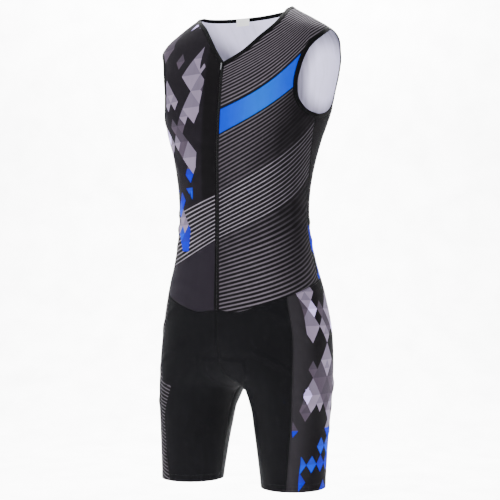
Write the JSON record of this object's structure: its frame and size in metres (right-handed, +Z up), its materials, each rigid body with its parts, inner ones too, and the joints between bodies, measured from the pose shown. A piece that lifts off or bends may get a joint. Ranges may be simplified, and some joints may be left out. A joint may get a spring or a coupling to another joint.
{
  "type": "sleeveless cycling skinsuit",
  "caption": "Sleeveless one-piece cycling suit: V-necked top with a long front zip, sewn at the waist to mid-thigh shorts, hollow and filled out as worn.",
  "frame": {"origin": "midway between the neck ends of the two shoulder lines, where the suit hangs on its wearer", "axes": "+Z up, -Y out of the front, +X towards the wearer's left"},
  "size_m": [0.367, 0.2325, 0.8953],
  "materials": {
    "print_stripe": "thin stretch knit, near-black with grey pinstripes and a blue sash",
    "print_dark": "thin stretch knit, charcoal with a two-tone facet print",
    "back_cloth": "thin stretch knit, near-black",
    "lycra": "denser black stretch knit with a faint sheen",
    "side_print": "black stretch knit with a printed facet pattern",
    "binding": "turned black elastic knit",
    "pad": "brushed foam-backed knit",
    "tape": "woven black tape",
    "chain": "black nylon coil",
    "slider": "black coated zinc",
    "tab": "light grey coated metal",
    "label": "bare white woven tape"
  },
  "bodies": {
    "garment": {"front_right": "print_dark", "front_left": "print_stripe", "back": "back_cloth", "neck_binding": "binding", "armhole_binding_right": "binding", "armhole_binding_left": "binding", "shorts_front_right": "lycra", "shorts_front_left": "lycra", "shorts_side_right": "side_print", "shorts_side_left": "side_print", "shorts_back_right": "lycra", "shorts_back_left": "lycra", "seat_pad": "pad", "zip_tape_right": "tape", "zip_tape_left": "tape", "zip_chain": "chain", "zip_slider": "slider", "neck_label": "label"},
    "zip_pull": {"zip_pull_tab": "tab"}
  },
  "joints": [
    {"name": "zip_pull_swing", "type": "hinge", "parent": "garment", "child": "zip_pull", "pos_m": [0, -0.08736, -0.10983], "axis": [-1, 0, 0], "range_deg": [0, 150]}
  ]
}
